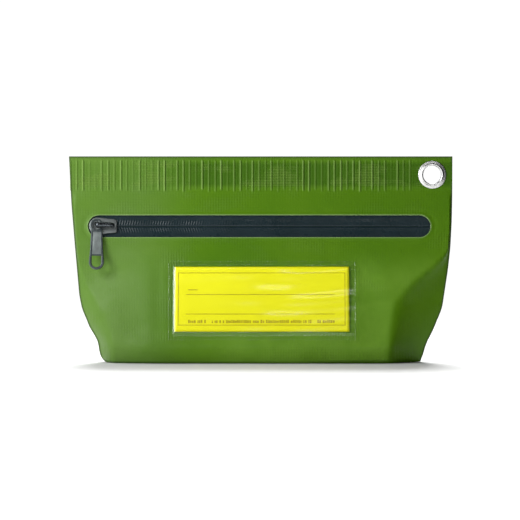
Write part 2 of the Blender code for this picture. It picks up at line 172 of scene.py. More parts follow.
right_width = smooth_line(RIGHT_OUTLINE, 1.6 * mm)
left_width = smooth_line(LEFT_OUTLINE, 1.6 * mm)
right_crease = smooth_line(RIGHT_CREASE)
left_crease = smooth_line(LEFT_CREASE)


def ease(t):
    t = np.clip(t, 0, 1)
    return t * t * (3 - 2 * t)


def smooth_min(a, b, k):
    h = np.clip(0.5 + 0.5 * (b - a) / k, 0, 1)
    return b + (a - b) * h - k * h * (1 - h)


def smooth_max(a, b, k):
    return -smooth_min(-a, -b, k)


def half_width(x, z):
    return np.where(x > 0, right_width(z), left_width(z))


def half_depth(z):
    lean = SEAL_Z - z
    lean = 0.5 * (lean + np.sqrt(lean * lean + (1.5 * mm) ** 2))
    return SEAM_HALF + math.tan(SLOPE) * lean - CURL * np.maximum(FACET_FOOT_Z - z, 0) ** 2


def bump_at(x, z, cx, cz, rx, rz, turn=0.0):
    """A soft round hill of height 1 at (cx, cz), in millimetres, turned by some degrees."""
    a = math.radians(turn)
    dx, dz = x / mm - cx, z / mm - cz
    u = (dx * math.cos(a) + dz * math.sin(a)) / rx
    w = (-dx * math.sin(a) + dz * math.cos(a)) / rz
    return np.exp(-(u * u + w * w))


def dents_at(x, z, dents):
    """Dents and bulges added up. Each is its height out of the cloth, then bump_at's numbers."""
    return sum(height * bump_at(x, z, *place) for height, *place in dents) * mm


def waves(x, z, seed, size, length):
    """Gentle, fixed unevenness of the cloth."""
    rng = np.random.default_rng(seed)
    total = np.zeros_like(x)
    for k in range(7):
        angle, phase = rng.uniform(0, math.pi), rng.uniform(0, 2 * math.pi)
        scale = 2 * math.pi / (length * rng.uniform(0.7, 1.7))
        total += np.sin(scale * (x * math.cos(angle) + z * math.sin(angle)) + phase)
    return size * total / 3.0


def panel_depth(x, z):
    """From the seam plane out to a panel's outer face."""
    edge = half_width(x, z) - 0.6 * mm
    deep = half_depth(z)
    reach = np.abs(x)
    steep = edge - 0.13 * (deep - SEAM_HALF) - 0.3 * mm
    crease = np.where(x > 0, right_crease(z), left_crease(z))
    crease = np.minimum(crease, steep)
    slant = SEAM_HALF + (edge - reach) * (deep - SEAM_HALF) / np.maximum(edge - crease, mm)
    soft = np.where(x > 0, 2.6 * mm, 9.0 * mm) * np.clip((CREASE_TOP_Z - z) / (45 * mm), 0.22, 1)
    low = ease((CREASE_TOP_Z - z) / (24 * mm))
    roll = np.where(x < 0, LEFT_ROLL_SLOPE, 0.02) * low
    past = reach - LEFT_ROLL
    face = deep - roll * 0.5 * (past + np.hypot(past, ROLL_BEND))
    face += roll * 0.5 * (math.hypot(LEFT_ROLL, ROLL_BEND) - LEFT_ROLL)
    return smooth_max(smooth_min(face, slant, soft), SEAM_HALF + 0 * x, 0.8 * mm)


def seal_ribs(x, z, seed):
    """Thin welded ridges of uneven height across the sealed strip, each with a groove beside it:
    their height, then how pale each crest is, partly rubbed coating and partly a painted highlight,
    then how deep each groove's painted shade is."""
    rng = np.random.default_rng(seed)
    count = 64
    strength = rng.uniform(0.35, 1.0, count) * np.where(rng.random(count) < 0.2, 0.45, 1.0)
    shift = rng.uniform(-0.25, 0.25, count) * mm
    low_end = BAND_LOW + rng.uniform(-0.4, 0.9, count) * mm
    total, crest_rub_and_highlight, groove_shade = np.zeros_like(x), np.zeros_like(x), np.zeros_like(x)
    for i in range(count):
        centre = -HALF + 1.2 * mm + i * RIB_PITCH + shift[i]
        if centre > BAND_RIGHT:
            break
        fade = ease((BAND_RIGHT - centre) / (14 * mm))
        span = ease((z - low_end[i]) / (0.9 * mm)) * ease((BAND_HIGH - z) / (0.9 * mm))
        d = (x - centre) / mm
        ridge = np.exp(-((d / 0.46) ** 2)) - 0.30 * np.exp(-(((d - 0.95) / 0.42) ** 2))
        half = 0.3 * np.exp(-(((d - 1.96) / 0.4) ** 2))
        total += fade * strength[i] * span * (ridge + half)
        crest_rub_and_highlight += fade * strength[i] ** 1.5 * span * np.exp(-(((d + 0.1) / 0.36) ** 2))
        groove_shade += fade * strength[i] * span * np.exp(-(((d - 0.75) / 0.5) ** 2))
    inside = ease((z - BAND_LOW) / (0.8 * mm)) * ease((BAND_HIGH - z) / (0.8 * mm))
    inside = inside * ease((BAND_RIGHT + 8 * mm - x) / (8 * mm))
    return RIB_HEIGHT * total - BAND_RECESS * inside, crest_rub_and_highlight, groove_shade


def past_slot(x):
    """How far x is past the straight part of the zip's slot."""
    return np.maximum(np.abs(x - SLOT_MIDDLE) - SLOT_REACH, 0)


def slot_half(x):
    """Half height of the zip's slot at x, zero past its round ends."""
    return np.sqrt(np.maximum(SLOT_HALF**2 - past_slot(x) ** 2, 0))


def slot_distance(x, v):
    return np.hypot(past_slot(x), v) - SLOT_HALF


def up_face(z):
    """Distance up the sloping face from the slot's centre line."""
    return (z - SLOT_Z) / math.cos(SLOPE)


def front_details(x, z):
    """What the front's cloth does beyond its main shape: dents, wrinkles, the slot's lip."""
    away = slot_distance(x, up_face(z))
    lip = 0.30 * mm * np.exp(-((away / (1.0 * mm)) ** 2)) - 0.22 * mm * np.exp(
        -(((away - 2.6 * mm) / (1.3 * mm)) ** 2)
    )
    calm = ease((away - 6 * mm) / (16 * mm))
    low = ease((SEAL_Z - z) / (10 * mm))
    rough = waves(x, z, 11, 0.26 * mm, 46 * mm) + waves(x, z, 5, 0.07 * mm, 17 * mm)
    shape = calm * low * (rough + dents_at(x, z, FRONT_DENTS))
    # Over the base's upturned edge the cloth stays in front of it
    over_base = ease((FACET_FOOT_Z - z) / (4 * mm))
    shape = shape + over_base * (smooth_max(shape, -0.15 * mm, 0.2 * mm) - shape)
    # Where the card slides out, the cloth stays behind it
    way_out = ease((x - CARD_X0 + 4 * mm) / (4 * mm))
    way_out = way_out * ease((z - CARD_LOW[2] + 7 * mm) / (5 * mm))
    way_out = way_out * ease((CARD_HIGH[2] + 7 * mm - z) / (5 * mm))
    shape = shape + way_out * (smooth_min(shape, 0.0, 0.3 * mm) - shape)
    return lip + shape


def back_details(x, z):
    low = ease((SEAL_Z - z) / (12 * mm))
    rough = waves(x, z, 23, 0.5 * mm, 55 * mm) + waves(x, z, 8, 0.08 * mm, 18 * mm)
    return low * (rough + dents_at(x, z, BACK_DENTS))


def columns():
    """Where the panels' columns stand at the top edge: close together round each rib."""
    offsets = np.array([-1.45, -0.95, -0.6, -0.3, 0, 0.3, 0.6, 0.95, 1.45, 1.96]) * mm
    ribs = -HALF + 1.2 * mm + RIB_PITCH * np.arange(-1, 62)
    places = (ribs[:, None] + offsets).ravel()
    ends = np.arange(112.2 * mm, HALF, 0.3 * mm)
    places = np.concatenate([places[np.abs(places) < 112 * mm], ends, -ends])
    wide = np.linspace(-HALF, HALF, 4001)
    shown = shift_columns(wide, np.full_like(wide, SLOT_Z))
    turn = np.radians(np.arange(0, 91, 7.5))
    caps = SLOT_REACH + SLOT_HALF * np.sin(turn)
    caps = np.interp(np.concatenate([SLOT_MIDDLE - caps, SLOT_MIDDLE + caps]), shown, wide)
    gap = np.abs(places[:, None] - caps[None, :]).min(axis=1)
    near = (np.abs(places) > caps[len(turn)] - 1 * mm) & (gap < 0.45 * mm)
    places = np.concatenate([places[~near], caps])
    places = np.unique(np.round(places[np.abs(places) < HALF - 0.15 * mm], 8))
    keep = [places[0]]
    fixed = set(np.round(caps, 8))
    for p in places[1:]:
        if p - keep[-1] > 0.1 * mm:
            keep.append(p)
        elif p in fixed:
            keep[-1] = p
    return np.concatenate([[-HALF], keep, [HALF]])


def shift_columns(x, z):
    """Moves columns in from their place at the top edge, so that they follow the outline."""
    slot_shift = HALF - half_width(x, SLOT_Z)
    shift = HALF - half_width(x, z)
    outside = np.maximum(ease((z - 93 * mm) / (8 * mm)), ease((77 * mm - z) / (8 * mm)))
    mostly = slot_shift + (shift - slot_shift) * outside
    reach = np.abs(x)
    moved = reach - mostly * (reach / HALF) ** 4
    moved -= (shift - mostly) * ease((reach - 110 * mm) / (HALF - 110 * mm))
    return np.sign(x) * moved


def foot_z(x):
    """The panels' lower edge: a little off the ground in the middle, down at the ends."""
    ends = ease((x + 86 * mm) / (10 * mm)) * ease((97 * mm - x) / (9 * mm))
    lifted = 0.25 * mm + ends * (0.15 * mm + 0.9 * mm * ease((x - 25 * mm) / (35 * mm)))
    past = np.clip((-x - 96.0 * mm) / (4.6 * mm), 0, 1)
    rounded = 4.2 * mm * (1 - np.sqrt(1 - past**2))
    return lifted + rounded


def row_heights(x_top, slot):
    """A (rows, columns) array of heights, top row first, and the row where the slot splits it."""
    over = np.concatenate([
        [TOP_Z, TOP_Z - 0.6 * mm, 127.2 * mm, BAND_HIGH, BAND_HIGH - 0.5 * mm, BAND_HIGH - mm],
        np.linspace(BAND_HIGH - 2 * mm, BAND_LOW + 2 * mm, 9),
        [BAND_LOW + mm, BAND_LOW + 0.5 * mm, BAND_LOW, BAND_LOW - 0.7 * mm],
        np.linspace(BAND_LOW - 2 * mm, 100.5 * mm, 4),
    ])
    near = np.array([0, 0.03, 0.07, 0.13, 0.21, 0.31, 0.43, 0.57, 0.72, 0.87, 1.0])
    x = shift_columns(x_top, np.full_like(x_top, SLOT_Z))
    open_half = slot_half(x) * math.cos(SLOPE) if slot else 0 * x
    up = SLOT_Z + open_half
    down = SLOT_Z - open_half
    upper, lower = 99 * mm, 70 * mm
    rows = [np.full_like(x, z) for z in over]
    rows += [up + (upper - up) * t for t in near[::-1]]
    split = len(rows) - 1
    rows += [down + (lower - down) * t for t in near]
    rows += [np.full_like(x, z) for z in np.linspace(68 * mm, FACET_FOOT_Z, 22)]
    last = rows[-1]
    for t in np.linspace(0, 1, 10)[1:]:
        x = shift_columns(x_top, rows[-1])
        rows.append(last + (foot_z(x) - last) * t)
    return np.array(rows), split


def grid_mesh(name, points, shape, skip=None, twin=None, flip=False, tint=None):
    """A mesh of the (rows, columns) grid. twin maps a point's number to the one it is merged into,
    and tint holds a number for each point under the name of its attribute."""
    rows, cols = shape
    number = np.arange(rows * cols).reshape(shape)
    if twin is not None:
        number = twin(number)
    a, b = number[:-1, :-1].ravel(), number[:-1, 1:].ravel()
    c, d = number[1:, 1:].ravel(), number[1:, :-1].ravel()
    faces = np.stack([a, d, c, b] if not flip else [a, b, c, d], axis=1)
    if skip is not None:
        faces = faces[~skip(points[faces].mean(axis=1))]
    cleaned = []
    for face in faces:
        loop = [f for k, f in enumerate(face) if f != face[k - 1]]
        if len(loop) > 2:
            cleaned.append(loop)
    used = np.unique([f for loop in cleaned for f in loop])
    place = np.full(len(points), -1)
    place[used] = np.arange(len(used))
    mesh = bpy.data.meshes.new(name)
    mesh.from_pydata(points[used].tolist(), [], [[int(place[f]) for f in loop] for loop in cleaned])
    mesh.validate()
    mesh.shade_smooth()
    for key, values in (tint or {}).items():
        layer = mesh.attributes.new(key, "FLOAT", "POINT")
        layer.data.foreach_set("value", values.ravel()[used].astype(np.float32))
    return add_object(name, mesh)


def thicken(obj, thickness, rim=0):
    """Thickens a sheet inwards. Its cut edge takes the material rim places on in its list."""
    solid = obj.modifiers.new("sheet", "SOLIDIFY")
    solid.thickness = thickness
    solid.use_even_offset = True
    solid.material_offset_rim = rim


def painted_front_sheen(x, z):
    """Where painted sheen lightens the front: a hazy painted reflection over its left end, then a
    painted soft reflection in lighter green low down and beside the label, which stops at the right
    gusset's crease."""
    painted_sheen = ease((-x - 28 * mm) / (62 * mm)) * (0.75 + 0.25 * ease((100 * mm - z) / (50 * mm)))
    low = ease((30 * mm - z) / (16 * mm)) * ease((x + 75 * mm) / (60 * mm))
    beside = ease((x - 42 * mm) / (22 * mm)) * ease((72 * mm - z) / (22 * mm))
    wear_and_sheen = np.maximum(low, beside) * ease((right_crease(z) + mm - x) / (6 * mm))
    return painted_sheen, wear_and_sheen


def panel(name, side):
    """One welded panel of the bag. side is -1 for the front and 1 for the back."""
    front = side < 0
    x_top = columns()
    heights, split = row_heights(x_top, front)
    z = heights
    x = shift_columns(np.broadcast_to(x_top, z.shape), z)
    depth = panel_depth(x, z)
    ribs, crest_rub_and_highlight, groove_shade = seal_ribs(x, z, 3 if front else 4)
    depth = depth + ribs
    welded = ease((half_width(x, z) - np.abs(x) - 0.5 * mm) / (6 * mm))
    depth = depth + welded * (front_details(x, z) if front else back_details(x, z))
    depth = np.maximum(depth, SEAM_HALF - 0.12 * mm)
    points = np.stack([x, SEAM_Y + side * depth, z], axis=2).reshape(-1, 3)

    def twin(number):
        number = number.copy()
        closed = slot_half(x[split]) <= 1e-9 if front else np.ones(x.shape[1], bool)
        number[split + 1, closed] = number[split, closed]
        return number

    near_slot = np.exp(-((np.maximum(slot_distance(x, up_face(z)), 0) / HIGHLIGHT_RIM) ** 2))
    from_edge = np.minimum(half_width(x, z) - np.abs(x), TOP_Z - z)
    painted_sheen, wear_and_sheen = painted_front_sheen(x, z)
    # painted light and shade handed to the material: edge and groove shade, slot and crest
    # highlights, and the front's sheen
    tint = {
        "edge_shade": np.exp(-((from_edge / SHADE_RIM) ** 2)), "slot_rim_highlight": near_slot * front,
        "crest_rub_and_highlight": crest_rub_and_highlight, "groove_shade": groove_shade,
        "painted_sheen": front * painted_sheen, "wear_and_sheen": front * wear_and_sheen,
    }

    def skip(middle):
        hole = np.hypot(middle[:, 0] - EYELET_X, middle[:, 2] - EYELET_Z) < EYELET_CUT
        if not front:
            return hole
        return hole | (np.abs(up_face(middle[:, 2])) < slot_half(middle[:, 0]) - 0.02 * mm)

    made = grid_mesh(name, points, z.shape, skip, twin, flip=not front, tint=tint)
    thicken(made, SHEET, rim=1)
    return made


def base():
    """The boxed bottom: it turns up inside both panels and its floor rests on the ground."""
    x_top = np.linspace(-0.985, 0.985, 150) * 95 * mm
    inside = 1.3 * SHEET + 0.15 * mm
    rows = []
    for z, inset, height in (
        (9, 0, 9), (6.5, 0, 6.5), (4.5, 0, 4.5), (3, 0, 3), (2.2, 0.25, 1.7), (2.0, 0.9, 0.75),
        (2.0, 2.2, 0.2), (2.0, 5.0, 0.0), (2.0, 9.0, 0.0), (2.0, 14.0, 0.0),
    ):
        deep = panel_depth(x_top, np.full_like(x_top, z * mm)) - inside
        deep = np.maximum(deep, 0.3 * mm)
        pulled = deep - inset * mm * np.clip(deep / (16 * mm), 0, 1)
        raised = np.full_like(x_top, height * mm)
        rows.append(np.stack([x_top, SEAM_Y - pulled, raised], axis=1))
    middle = rows[-1].copy()
    middle[:, 1] = SEAM_Y
    back = [np.stack([r[:, 0], 2 * SEAM_Y - r[:, 1], r[:, 2]], axis=1) for r in reversed(rows)]
    every = np.array(rows + [middle] + back)
    made = grid_mesh("bag_base", every.reshape(-1, 3), every.shape[:2])
    thicken(made, SHEET * 0.8)
    return made


# ---------------------------------------------------------------- places on the flat front face

FACE = Matrix.Translation((0, SEAM_Y - float(half_depth(np.array(SLOT_Z))), SLOT_Z)) @ (
    Matrix.Rotation(-SLOPE, 4, "X")
)


def on_face(x, v, n):
    """Points of the front face's own frame, as an array of points in the row frame."""
    x, v, n = np.broadcast_arrays(x, v, n)
    local = np.stack([x, -n, v], axis=-1).reshape(-1, 3)
    rotation = np.array(FACE.to_3x3())
    return local @ rotation.T + np.array(FACE.translation)


def arc(cx, cy, radius, start, end, steps, tall=None):
    """Points from start to end, in degrees, round a circle, or an oval tall above its middle."""
    turn = np.radians(np.linspace(start, end, steps + 1))
    rise = tall or radius
    return [(cx + radius * math.cos(a), cy + rise * math.sin(a)) for a in turn]


def plate(name, outlines, n0, n1, bevel):
    """A flat plate with rounded edges. Outlines are (x, v) loops, the first the outside."""
    curve = bpy.data.curves.new(name, "CURVE")
    curve.dimensions = "2D"
    curve.fill_mode = "BOTH"
    for outline in outlines:
        spline = curve.splines.new("POLY")
        spline.points.add(len(outline) - 1)
        for point, (x, v) in zip(spline.points, outline):
            point.co = (x, v, 0, 1)
        spline.use_cyclic_u = True
    curve.extrude = (n1 - n0) / 2 - bevel
    curve.bevel_depth = bevel
    curve.bevel_resolution = 3
    curve.offset = -bevel
    source = add_object(name + "_outline", curve)
    graph = bpy.context.evaluated_depsgraph_get()
    mesh = bpy.data.meshes.new_from_object(source.evaluated_get(graph))
    bpy.data.objects.remove(source)
    bpy.data.curves.remove(curve)
    stand = Matrix.Translation((0, -(n0 + n1) / 2, 0)) @ Matrix.Rotation(math.pi / 2, 4, "X")
    mesh.transform(FACE @ stand)
    bm = bmesh.new()
    bm.from_mesh(mesh)
    bpy.data.meshes.remove(mesh)
    bmesh.ops.remove_doubles(bm, verts=bm.verts, dist=1e-6)
    return smooth_object(name, bm, sharp=40)


def joined(name, pieces):
    """One object of these pieces' meshes."""
    bm = bmesh.new()
    for piece in pieces:
        bm.from_mesh(piece.data)
        bpy.data.objects.remove(piece)
    return smooth_object(name, bm, sharp=40)


def lathe(name, profile, centre):
    """A closed (radius, n) profile turned about an axis along Y, with n towards the front."""
    steps, loops = 96, len(profile)
    turn = 2 * np.pi * np.arange(steps) / steps
    r, n = np.array(profile).T
    points = np.stack([
        centre[0] + np.outer(np.cos(turn), r),
        centre[1] - np.broadcast_to(n, (steps, loops)),
        centre[2] + np.outer(np.sin(turn), r),
    ], axis=2).reshape(-1, 3)
    return solid_mesh(name, points, tube_faces(steps, loops, closed=True), sharp=50)


# ---------------------------------------------------------------- zip

ZIP_HALF_LENGTH = 108.2 * mm
FILM_EDGE = 12.0 * mm
FILM_CORNER = 8.5 * mm
FILM_N = -(SHEET + 0.28 * mm)
LIP = 0.06 * mm
TOOTH_PITCH = 1.6 * mm
COIL_N = -3.1 * mm
COIL_V = 2.2 * mm
COIL_LEFT, COIL_RIGHT, COIL_WIRE = -106.0 * mm, 101.5 * mm, 0.36 * mm
TOP_STOP_X = (-107.9 * mm, -106.9 * mm)
BOTTOM_STOP_X = (98.5 * mm, 101.5 * mm)
HALVES = (("upper", 1), ("lower", -1))  # the zip's halves, and the way each lies from its middle


def zip_film(name, side):
    """One lip of the waterproof film over the zip, with the coil's teeth pressing through."""
    x = np.linspace(-ZIP_HALF_LENGTH, ZIP_HALF_LENGTH, 760)
    across = np.array([
        0, 0.15, 0.5, 0.9, 1.3, 1.7, 2.1, 2.5, 2.9, 3.3, 3.8, 4.5, 5.5, 6.8, 8.5, 10.3, 12.0,
    ])
    past = np.maximum(np.abs(x) - (ZIP_HALF_LENGTH - FILM_CORNER), 0)
    far = FILM_EDGE - FILM_CORNER + np.sqrt(np.maximum(FILM_CORNER**2 - past**2, 0))
    v = LIP + (far - LIP) * (across[:, None] / across[-1])
    x = np.broadcast_to(x, v.shape)
    over_coil = ease((v - 0.3 * mm) / (0.9 * mm)) * ease((4.3 * mm - v) / (1.0 * mm))
    fade = 0.08 + 0 * x
    for centre, width, height in (
        (-84, 9, 1.2), (-62, 8, 0.75), (-43, 8, 0.8), (-22, 8, 0.4), (0, 12, 0.2),
    ):
        fade = fade + height * np.exp(-(((x / mm - centre) / width) ** 2))
    slant = 0.25 if side > 0 else -0.35
    teeth = np.cos(2 * math.pi * (x - side * slant * v) / TOOTH_PITCH)
    wrinkle = 0.05 * mm * np.exp(-(((x - 98 * mm) / (5 * mm)) ** 2)) * np.cos(
        2 * math.pi * (x + 0.4 * v) / (3.1 * mm) + 2 * np.sin(x / (2 * mm))
    ) * ease((6 * mm - v) / (3 * mm))
    n = FILM_N - 0.05 * mm + 0.16 * mm * over_coil * (0.7 + 1.0 * teeth * fade)
    n = n - 0.18 * mm * np.exp(-((v / (0.4 * mm)) ** 2)) + wrinkle
    n = np.minimum(n, FILM_N + 0.16 * mm)
    points = on_face(x, side * v, n)
    made = grid_mesh(name, points, v.shape, flip=side > 0)
    thicken(made, 0.3 * mm)
    return made


def coil(name, side):
    """A nylon monofilament wound in flat turns along the back of the film."""
    turns = int((COIL_RIGHT - COIL_LEFT) / TOOTH_PITCH)
    per_turn, sides = 12, 6
    t = np.arange(turns * per_turn + 1) / per_turn
    phase = 2 * math.pi * t
    centre = np.stack([
        COIL_LEFT + t * TOOTH_PITCH,
        side * (COIL_V + 1.02 * mm * np.cos(phase)),
        COIL_N + 0.82 * mm * np.sin(phase) * (1 - 0.25 * np.cos(phase) ** 4),
    ], axis=1)
    ahead = np.gradient(centre, axis=0)
    ahead /= np.linalg.norm(ahead, axis=1)[:, None]
    across = np.cross(ahead, (1.0, 0.0, 0.0))
    across /= np.maximum(np.linalg.norm(across, axis=1), 1e-9)[:, None]
    other = np.cross(ahead, across)
    turn = 2 * math.pi * np.arange(sides) / sides
    ring = (
        centre[:, None, :]
        + COIL_WIRE * np.cos(turn)[None, :, None] * across[:, None, :]
        + COIL_WIRE * np.sin(turn)[None, :, None] * other[:, None, :]
    )
    points = on_face(ring[..., 0], ring[..., 1], ring[..., 2])
    return solid_mesh(name, points, tube_faces(len(centre), sides))


def rounded_box(x0, x1, v0, v1, radius):
    outline = []
    for cx, cv, start in (
        (x1 - radius, v0 + radius, 270), (x1 - radius, v1 - radius, 0),
        (x0 + radius, v1 - radius, 90), (x0 + radius, v0 + radius, 180),
    ):
        outline += arc(cx, cv, radius, start, start + 90, 4)
    return outline


def on_both_sides(name, x0, x1, v0, v1, radius, n0, n1, bevel):
    """A plate over v0 to v1 below the zip's middle line, and its mirror image above it."""
    made = []
    for s in (-1, 1):
        outline = rounded_box(x0, x1, min(s * v0, s * v1), max(s * v0, s * v1), radius)
        made.append(plate(f"{name}_{s + 1}", [outline], n0, n1, bevel))
    return made


def stops():
    """Stops moulded on: one on each coil's left end, and a staple across both on the right."""
    made = []
    for word, side in HALVES:
        low, high = sorted((side * 0.8 * mm, side * 3.6 * mm))
        outline = rounded_box(*TOP_STOP_X, low, high, 0.3 * mm)
        stop = plate(f"{word}_stop_crimp", [outline], -4.3 * mm, -1.9 * mm, 0.2 * mm)
        made.append((stop, f"{word}_top_stop", f"{word}_stringer"))
    outline = rounded_box(*BOTTOM_STOP_X, -4.5 * mm, 4.5 * mm, 0.5 * mm)
    back = plate("stop_back", [outline], -5.3 * mm, -4.6 * mm, 0.2 * mm)
    ears = on_both_sides("stop_ear", *BOTTOM_STOP_X, 3.9 * mm, 4.5 * mm, 0.2 * mm,
                         -4.9 * mm, -1.9 * mm, 0.15 * mm)
    made.append((joined("bottom_stop_staple", [back] + ears), "bottom_stop", "shell"))
    return made


# ---------------------------------------------------------------- slider and pull

SLIDER_X = sum(corner[0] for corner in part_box("slider_body")) / 2
WING_FRONT = 0.6 * mm
PULL_X = SLIDER_X - 3.85 * mm
PULL_LOW, PULL_FACE = -28.2 * mm, 2.55 * mm
PULL_END, PULL_NECK, PULL_EYE = 4.7 * mm, 3.4 * mm, 4.1 * mm  # half widths, and the eye's radius
EYE_HOLE, FINGER_HOLE = 2.35 * mm, 2.95 * mm


def wing_outline():
    """From the front: a blunt nose on the left, widest just behind it, then a narrower tail."""
    half, wide = 8.7 * mm, 5.5 * mm
    shape = [(-1, 0.26), (-0.93, 0.55), (-0.75, 0.86), (-0.5, 1.0), (-0.15, 0.98), (0.3, 0.86),
             (0.75, 0.80), (0.93, 0.72), (1.0, 0.5)]
    upper = [(SLIDER_X + x * half, w * wide) for x, w in shape]
    return upper[::-1] + [(x, -v) for x, v in upper]


def slider_pieces():
    front = plate("wing_front", [wing_outline()], -0.7 * mm, WING_FRONT, 0.42 * mm)
    back = plate("wing_back", [wing_outline()], -5.8 * mm, -4.6 * mm, 0.35 * mm)
    post_x = (SLIDER_X - 8.2 * mm, SLIDER_X - 5.3 * mm)
    post = plate("post", [rounded_box(*post_x, -0.5 * mm, 0.5 * mm, 0.3 * mm)],
                 -4.8 * mm, -0.5 * mm, 0.1 * mm)
    flanges = on_both_sides("flange", SLIDER_X - 4.4 * mm, SLIDER_X - 1.4 * mm, 4.85 * mm,
                            5.4 * mm, 0.2 * mm, -4.9 * mm, -1.9 * mm, 0.1 * mm)
    body = joined("slider_casting", [front, back, post] + flanges)

    left, right = SLIDER_X - 4.75 * mm, SLIDER_X + 7.05 * mm
    rows = []
    for t in np.linspace(0, 1, 25):
        x = left + (right - left) * t
        end = math.sqrt(max(1 - abs(2 * t - 1) ** 5, 0.0))
        half = 1.45 * mm * (0.55 + 0.45 * end) * (1.0 - max(t - 0.75, 0))
        top = 5.4 * mm - 1.1 * mm * (1 - end) - 0.9 * mm * max(t - 0.45, 0) ** 1.5
        under = 4.2 * mm - 1.0 * mm * (1 - end)
        if x < left + 1.8 * mm or x > right - 2.4 * mm:
            under = 0.9 * mm
        section = arc(0, top - 0.7 * mm, half, 0, 180, 8, tall=0.7 * mm)
        section += [(-half, under), (half, under)]
        rows.append([(x, v, n) for v, n in section])
    grid = np.array(rows)
    points = on_face(grid[..., 0], grid[..., 1], grid[..., 2])
    return body, solid_mesh("crown_arch", points, tube_faces(*grid.shape[:2]), sharp=45)


def pull_outline(shrink=0.0):
    end, neck, eye = PULL_END - shrink, PULL_NECK - shrink, PULL_EYE - shrink
    shoulder = math.degrees(math.asin(min(neck / eye, 1)))
    outline = arc(0, 0, eye, -90 + shoulder, 270 - shoulder, 40)
    outline.append((-neck - 0.55 * mm, -15 * mm))
    outline += arc(0, PULL_LOW + PULL_END, end, 180, 360, 24)
    outline.append((neck + 0.55 * mm, -15 * mm))
    return outline


def at_pull(outline):
    return [(PULL_X + x, v) for x, v in outline]


def pull_piece():
    """A flat tab with an eye and a finger hole, and a raised rim round each and round a panel."""
    eye = arc(0, 0, EYE_HOLE, 360, 12, 29)
    low = PULL_LOW + 1.6 * mm
    finger = arc(0, low + FINGER_HOLE, FINGER_HOLE, 360, 180, 18)
    finger += [(-FINGER_HOLE, low + 6.9 * mm), (-2.55 * mm, low + 7.3 * mm),
               (2.55 * mm, low + 7.3 * mm), (FINGER_HOLE, low + 6.9 * mm)]
    body = plate("pull_plate", [at_pull(pull_outline(0.05 * mm)), at_pull(eye), at_pull(finger)],
                 1.6 * mm, PULL_FACE, 0.3 * mm)
    panel_top, panel_low, side = -4.2 * mm, low + 8.2 * mm, 2.35 * mm
    recess = [(-side, panel_top), (-side - 0.5 * mm, panel_low), (side + 0.5 * mm, panel_low),
              (side, panel_top)]
    wider_eye = arc(0, 0, EYE_HOLE + 0.4 * mm, 360, 12, 29)
    wider_finger = [(x * 1.06, v) for x, v in finger]
    loops = [at_pull(loop) for loop in (pull_outline(), recess, wider_eye, wider_finger)]
    rim = plate("pull_rim", loops, 2.1 * mm, 2.8 * mm, 0.22 * mm)
    return joined("pull_handle", [body, rim])


# ---------------------------------------------------------------- label and eyelet

CARD_LOW, CARD_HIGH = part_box("label_card")
CARD_X0, CARD_X1 = CARD_LOW[0] + 0.8 * mm, CARD_HIGH[0] - 1.0 * mm
POCKET_V0, POCKET_V1 = up_face(CARD_LOW[2]), up_face(CARD_HIGH[2])
CARD_V0, CARD_V1 = POCKET_V0 + 2.1 * mm, POCKET_V1 - 0.4 * mm
WINDOW_X0, WINDOW_X1 = (corner[0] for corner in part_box("label_window"))
BORDER = 3.0 * mm
PRINT_N = (0.62 * mm, 0.735 * mm)  # from inside the card to just proud of it


def label_card():
    x = np.linspace(CARD_X0, CARD_X1, 60)
    v = np.linspace(CARD_V0, CARD_V1, 26)[:, None]
    x, v = np.broadcast_arrays(x, v)
    n = 0.66 * mm + 0.05 * mm * np.sin(x / (17 * mm)) * np.sin((v - CARD_V0) / (14 * mm))
    made = grid_mesh("card_stock", on_face(x, v, n), x.shape, flip=True)
    thicken(made, 0.32 * mm)
    return made


def card_print():
    """Plain printed rules: a thin frame, a short dash, two writing lines and a row of ticks."""
    bars = []

    def bar(x0, x1, v0, v1, dark=0):
        bars.append((x0, x1, v0, v1, dark))

    left, right = CARD_X0 + 2.0 * mm, CARD_X1 - 2.4 * mm
    low, high = CARD_V0 + 3.9 * mm, CARD_V1 - 3.7 * mm
    line = 0.42 * mm
    bar(left, right, low, low + line)
    bar(left, right, high - line, high)
    bar(left, left + line, low, high)
    bar(right - line, right, low, high)
    dash, first, second, marks = (CARD_V1 - down * mm for down in (14.9, 17.8, 30.1, 35.6))
    bar(left + 6.4 * mm, left + 12.2 * mm, dash, dash + 0.6 * mm, 1)
    bar(left + 5.1 * mm, right - 6.7 * mm, first, first + line)
    bar(left + 5.1 * mm, right - 6.7 * mm, second, second + line)
    rng = np.random.default_rng(7)
    gaps = [0.25, 0.25, 0.25, 0.25, 1.1]
    for start, end in ((left + 6.4 * mm, left + 17.5 * mm), (left + 21 * mm, left + 82 * mm),
                       (left + 86.4 * mm, right - 7 * mm)):
        at = start
        while at < end:
            wide = rng.uniform(0.6, 1.2) * mm
            tall = rng.uniform(1.5, 2.1) * mm
            bar(at, at + wide, marks, marks + tall, 1)
            at += wide + rng.choice(gaps) * mm
    bm = bmesh.new()
    for x0, x1, v0, v1, dark in bars:
        corners = [(x0, v0), (x1, v0), (x1, v1), (x0, v1)]
        rings = [[bm.verts.new(on_face(x, v, n)[0]) for x, v in corners] for n in PRINT_N]
        sides = [(rings[0][i], rings[0][i - 3], rings[1][i - 3], rings[1][i]) for i in range(4)]
        for corners in rings + sides:
            bm.faces.new(corners).material_index = dark
    bmesh.ops.recalc_face_normals(bm, faces=bm.faces)
    mesh = bpy.data.meshes.new("card_rules")
    bm.to_mesh(mesh)
    bm.free()
    return add_object("card_rules", mesh)


